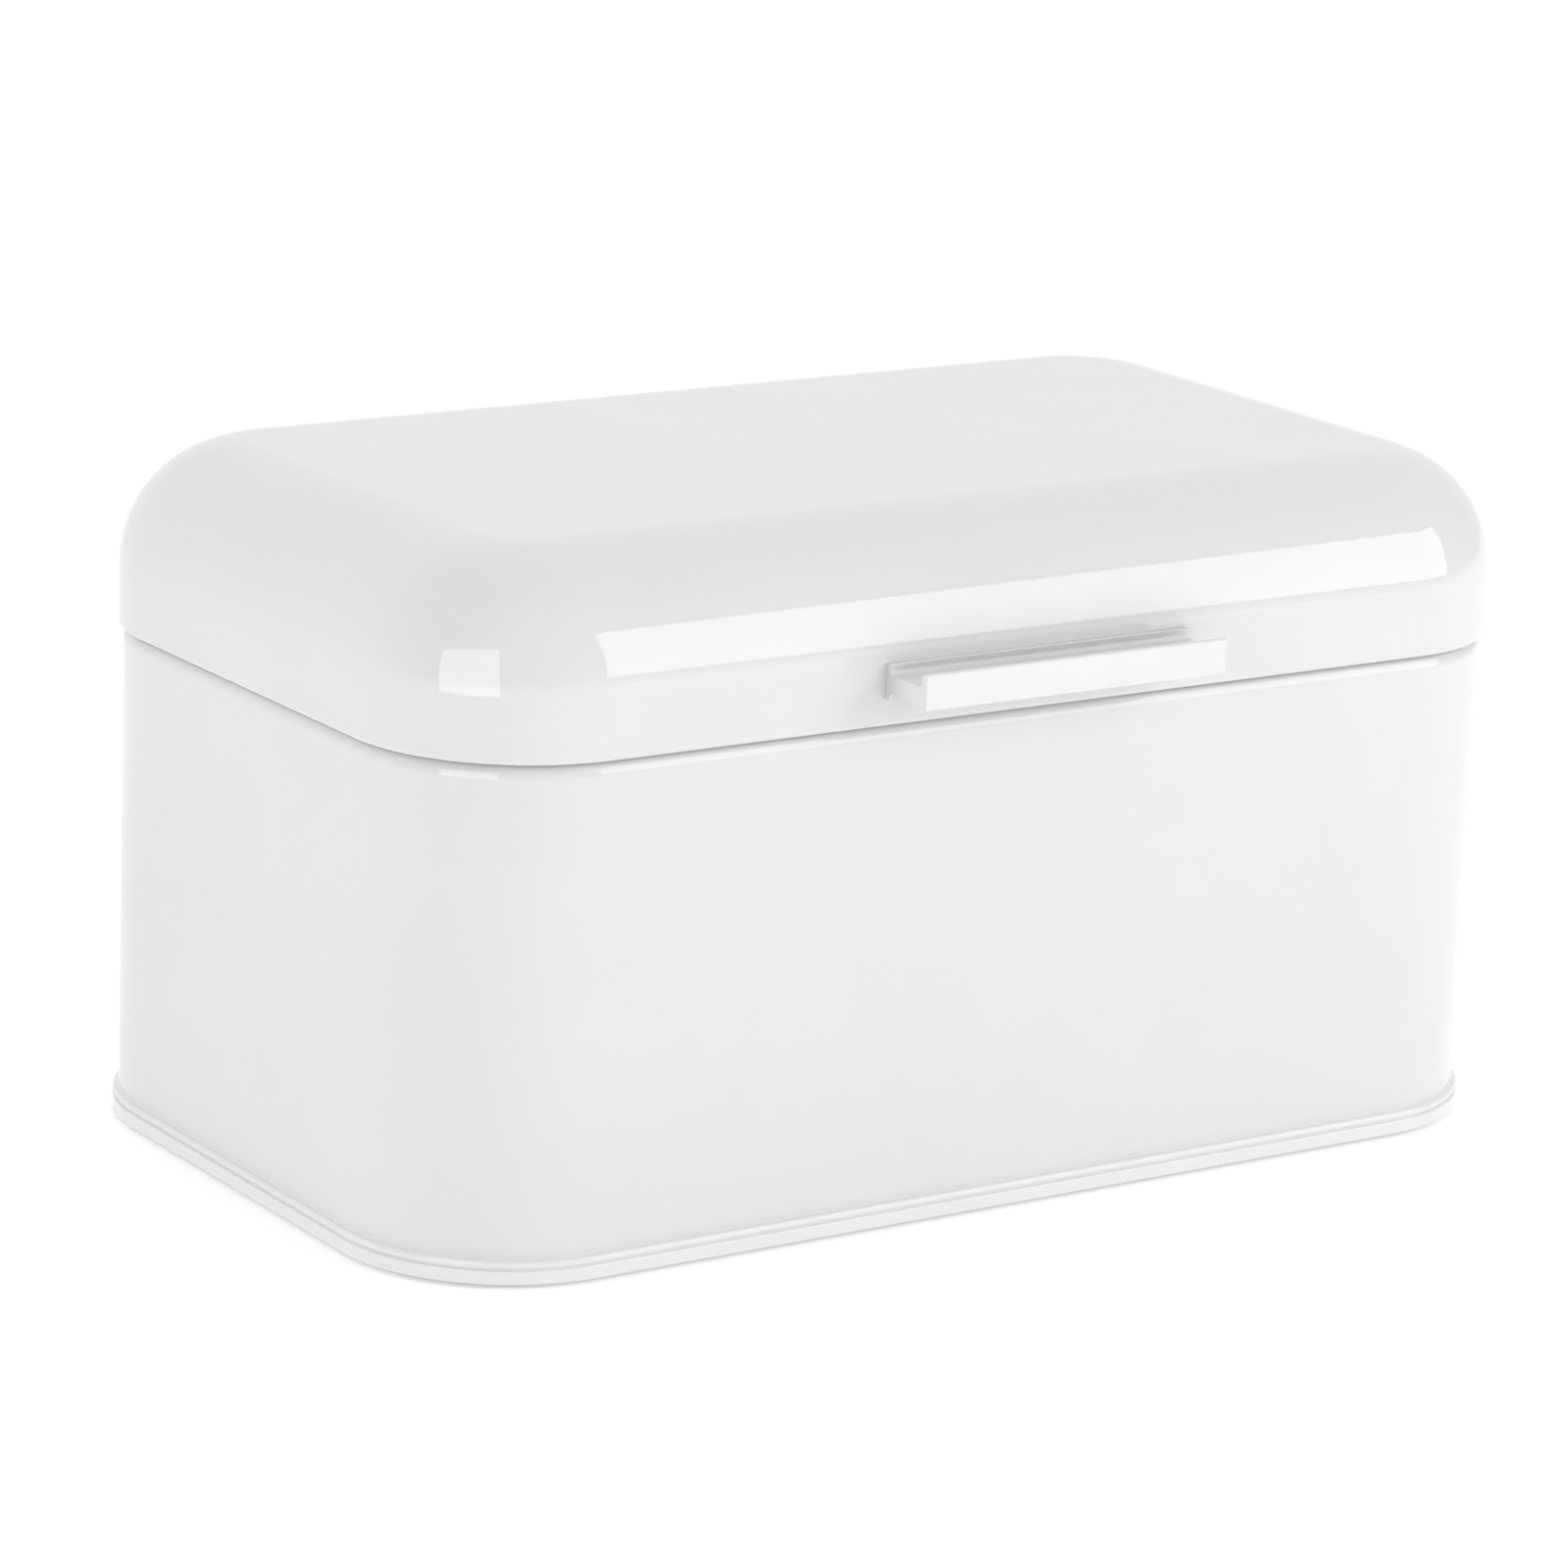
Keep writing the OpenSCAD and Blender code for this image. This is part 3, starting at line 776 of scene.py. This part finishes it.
def heel(middle):
    """Stop tab on the lid's knuckle, which meets the body's leaf at OPEN_ANGLE."""
    half_t = HEEL_T / 2
    stop = PIVOT_Y - WALL_Y - LEAF_T - HEEL_CLEARANCE
    open_turn = math.atan2(half_t, HEEL_L) - math.acos(-stop / math.hypot(HEEL_L, half_t))
    closed = math.radians(OPEN_ANGLE) + open_turn
    along = Vector((0, math.cos(closed), math.sin(closed)))
    across = Vector((0, -math.sin(closed), math.cos(closed)))
    sunk = 0.4
    root = KNUCKLE_R - sunk
    outline = rounded([
        (root, -half_t, 0),
        (HEEL_L, -half_t, HEEL_EDGE_R),
        (HEEL_L, half_t, HEEL_EDGE_R),
        (root, half_t, 0),
    ])
    pivot = Vector((middle, PIVOT_Y, PIVOT_Z))

    def place(u, v, w):
        return pivot + along * u + across * v + Vector((w, 0, 0))

    return prism(outline, place, -INNER_KNUCKLE_L / 2, INNER_KNUCKLE_L / 2)


def make_body_leaf(side, middle):
    """Leaf riveted to the wall, with the two outer knuckles."""
    plate_top_z = SHOULDER_Z - SHOULDER_R - BODY_LEAF_GAP
    root_z = BODY_LEAF_FOOT_Z + BODY_ROOT_H
    offset = (HINGE_L - OUTER_KNUCKLE_L) / 2
    knuckles = [
        rolled_knuckle(WALL_Y, root_z, BODY_BEND_GAP, BODY_BORE_R, middle + x, OUTER_KNUCKLE_L)
        for x in (-offset, offset)
    ]
    holes = cutters([middle + x for x in RIVET_XS], WALL_Y, BODY_RIVET_Z, RIVET_D)
    leaf = leaf_plate(middle, WALL_Y, BODY_LEAF_FOOT_Z, plate_top_z)
    leaf = combined(combined(leaf, knuckles, "UNION"), holes, "DIFFERENCE")
    node = "hinge_%s_body_leaf" % side
    finish(soften(leaf, LEAF_EDGE_R), "rolled_" + node, "body", "hinge_enamel", [node])


def make_lid_leaf(side, middle):
    """Leaf riveted to the lid, with the middle knuckle and the stop heel."""
    plate_foot_z = PIVOT_Z + KNUCKLE_R + LID_LEAF_GAP
    root_z = LID_LEAF_TOP_Z - LID_ROOT_H
    knuckle = rolled_knuckle(LID_Y, root_z, LID_BEND_GAP, LID_BORE_R, middle, INNER_KNUCKLE_L)
    holes = cutters([middle + x for x in RIVET_XS], LID_Y, LID_RIVET_Z, RIVET_D)
    leaf = leaf_plate(middle, LID_Y, LID_LEAF_TOP_Z, plate_foot_z)
    leaf = combined(combined(leaf, [knuckle, heel(middle)], "UNION"), holes, "DIFFERENCE")
    node = "hinge_%s_lid_leaf" % side
    finish(soften(leaf, LEAF_EDGE_R), "rolled_" + node, "lid", "hinge_enamel", [node])


def make_pin(side):
    """Hinge pin with a flat head at each end."""
    node = "hinge_%s_pin" % side
    low, high = box_mm(node)
    head_r = (high.z - low.z) / 2
    head_t = 0.8
    length = high.x - low.x
    edge_r = 0.35
    profile = [(0, 0)]
    profile += arc(head_r - edge_r, edge_r, edge_r, -90, 0, step=30)
    profile += [(head_r, head_t), (BODY_BORE_R, head_t), (BODY_BORE_R, length - head_t)]
    profile += [(head_r, length - head_t)]
    profile += arc(head_r - edge_r, length - edge_r, edge_r, 0, 90, step=30)
    profile += [(0, length)]
    pin = lathe(profile, (low.x, PIVOT_Y, PIVOT_Z), (1, 0, 0))
    finish(pin, "drawn_" + node, "body", "pin_steel", [node])


def rivet(x, face_y, z):
    """Domed head outside, shank through leaf and sheet, and an upset tail inside."""
    r = RIVET_HEAD_D / 2
    dome_r = (r * r + RIVET_HEAD_H * RIVET_HEAD_H) / (2 * RIVET_HEAD_H)
    edge = math.degrees(math.acos((dome_r - RIVET_HEAD_H) / dome_r))
    grip = LEAF_T + SHEET
    tail_r = RIVET_TAIL_D / 2
    tail_end = -grip - RIVET_TAIL_H
    tail = [(0, tail_end)]
    tail += arc(tail_r - RIVET_TAIL_R, tail_end + RIVET_TAIL_R, RIVET_TAIL_R, -90, 0, step=30)
    tail += [(tail_r, -grip), (RIVET_D / 2, -grip), (RIVET_D / 2, 0)]
    head = arc(0, RIVET_HEAD_H - dome_r, dome_r, 90 - edge, 90, step=4)
    return lathe(tail + head, (x, face_y, z), (0, 1, 0))


def make_rivets(side, middle):
    """Two rivets through each leaf of a hinge."""
    for body, shell_y, z in (("body", WALL_Y, BODY_RIVET_Z), ("lid", LID_Y, LID_RIVET_Z)):
        node = "%s_rivets_%s" % (body, side)
        pair = [rivet(middle + x, shell_y + LEAF_T, z) for x in RIVET_XS]
        finish(joined(pair), "domed_" + node, body, "rivet_enamel", [node])


# ---------- studio ----------

def make_floor():
    """Plain pale floor."""
    bm = bmesh.new()
    half = 5  # metres
    corners = [(-half, -half, 0), (half, -half, 0), (half, half, 0), (-half, half, 0)]
    bm.faces.new([bm.verts.new(corner) for corner in corners])
    mesh = bpy.data.meshes.new("floor")
    bm.to_mesh(mesh)
    bm.free()
    floor = bpy.data.objects.new("floor", mesh)
    bpy.context.scene.collection.objects.link(floor)
    look = bpy.data.materials.new("floor_paper")
    look.use_nodes = True
    surface = look.node_tree.nodes["Principled BSDF"]
    surface.inputs["Base Color"].default_value = (0.95, 0.95, 0.95, 1)
    surface.inputs["Roughness"].default_value = 0.9
    surface.inputs["Specular IOR Level"].default_value = 0
    surface.inputs["Emission Color"].default_value = (1, 1, 1, 1)
    surface.inputs["Emission Strength"].default_value = 0.22
    mesh.materials.append(look)


# Metres and degrees, with the lens and its sensor in millimetres.
LIGHTS_AIM = Vector((0, CENTRE_Y * MM, 0.13))
CAMERA_AIM = Vector((0, CENTRE_Y * MM, 0.07832))
CAMERA_AZIMUTH = -33.979
CAMERA_ELEVATION = 14.852
CAMERA_ROLL = 2.188
CAMERA_DISTANCE = 1.4873
CAMERA_SIDESTEP = -0.005
CAMERA_LENS = 143.99
CAMERA_SENSOR = 36


def bearing(azimuth, elevation):
    """Unit vector; azimuth turns from the front (-Y) towards +X, in degrees."""
    a, e = math.radians(azimuth), math.radians(elevation)
    return Vector((math.sin(a) * math.cos(e), -math.cos(a) * math.cos(e), math.sin(e)))


def stand(thing, location, back, roll):
    """Links a light or camera that looks away from back, rolled by degrees."""
    across = Vector((0, 0, 1)).cross(back).normalized()
    upright = back.cross(across)
    turn = math.radians(roll)
    right = across * math.cos(turn) + upright * math.sin(turn)
    up = upright * math.cos(turn) - across * math.sin(turn)
    thing.matrix_world = Matrix((right, up, back)).transposed().to_4x4()
    thing.location = location
    bpy.context.scene.collection.objects.link(thing)


def softbox(name, centre, facing, roll, distance, size, radiance, fill=True, shine=True):
    """Area light at a bearing and distance from the lid's edge; its back points to facing.

    fill lets it light matt surfaces, and shine lets it show in glossy ones.
    """
    data = bpy.data.lights.new(name, "AREA")
    data.shape = "RECTANGLE"
    data.size, data.size_y = size
    data.energy = radiance * math.pi * data.size * data.size_y
    light = bpy.data.objects.new(name, data)
    light.visible_camera = False
    light.visible_diffuse = fill
    light.visible_glossy = shine
    stand(light, LIGHTS_AIM + bearing(*centre) * distance, bearing(*facing), roll)


def make_world(everywhere, lobes):
    """White surroundings: even light, plus soft lobes of (direction, edge, radiance).

    A lobe fades out as the cosine of the angle to its direction falls from full to its edge.
    """
    full = 0.9
    world = bpy.data.worlds.new("studio")
    bpy.context.scene.world = world
    world.use_nodes = True
    tree = world.node_tree
    place = shader(tree, "TexCoord")
    total = None
    for direction, edge, radiance in lobes:
        towards = tree.nodes.new("ShaderNodeVectorMath")
        towards.operation = "DOT_PRODUCT"
        towards.inputs[1].default_value = direction
        tree.links.new(place.outputs["Generated"], towards.inputs[0])
        lobe = shader(tree, "MapRange", From_Min=edge, From_Max=full, To_Max=radiance)
        lobe.interpolation_type = "SMOOTHSTEP"
        tree.links.new(towards.outputs["Value"], lobe.inputs["Value"])
        plus = tree.nodes.new("ShaderNodeMath")
        tree.links.new(lobe.outputs["Result"], plus.inputs[0])
        if total:
            tree.links.new(total, plus.inputs[1])
        else:
            plus.inputs[1].default_value = everywhere
        total = plus.outputs["Value"]
    tree.links.new(total, tree.nodes["Background"].inputs["Strength"])
    tree.nodes["Background"].inputs["Color"].default_value = (1, 1, 1, 1)


def make_camera():
    """Camera in front, to the left and above, moved a little sideways."""
    back = bearing(CAMERA_AZIMUTH, CAMERA_ELEVATION)
    sideways = bearing(CAMERA_AZIMUTH + 90, 0)
    data = bpy.data.cameras.new("camera")
    data.lens = CAMERA_LENS
    data.sensor_width = CAMERA_SENSOR
    data.clip_start = 0.05
    data.clip_end = 50
    camera = bpy.data.objects.new("camera", data)
    eye = CAMERA_AIM + sideways * CAMERA_SIDESTEP + back * CAMERA_DISTANCE
    stand(camera, eye, back, CAMERA_ROLL)
    bpy.context.scene.camera = camera


make_body()
make_feet()
make_lid()
make_handle()
make_screws()
for side, sign in (("left", -1), ("right", 1)):
    make_body_leaf(side, hinge_x(sign))
    make_lid_leaf(side, hinge_x(sign))
    make_pin(side)
    make_rivets(side, hinge_x(sign))

make_floor()
make_world(
    everywhere=0.28,
    lobes=[
        ((0, 0, 1), 0.15, 0.32),
        ((0, 1, 0), -0.3, 0.77),
        ((0.2, -0.6, 0.77), 0.3, 0.22),
    ],
)
softbox(
    "key_softbox", centre=(41.8, 16.8), facing=(31.6, 17.9), roll=-2.4,
    distance=1.6, size=(1.036, 0.909), radiance=3.05)
softbox(
    "side_softbox", centre=(-61.8, 6.9), facing=(-42.6, 2.7), roll=3.4,
    distance=0.55, size=(0.29, 0.275), radiance=3, fill=False)
softbox(
    "side_fill", centre=(-60, 8.5), facing=(-60, 8.5), roll=0,
    distance=1.6, size=(0.92, 0.95), radiance=2.2, shine=False)
make_camera()
bpy.context.scene.view_settings.view_transform = "Standard"
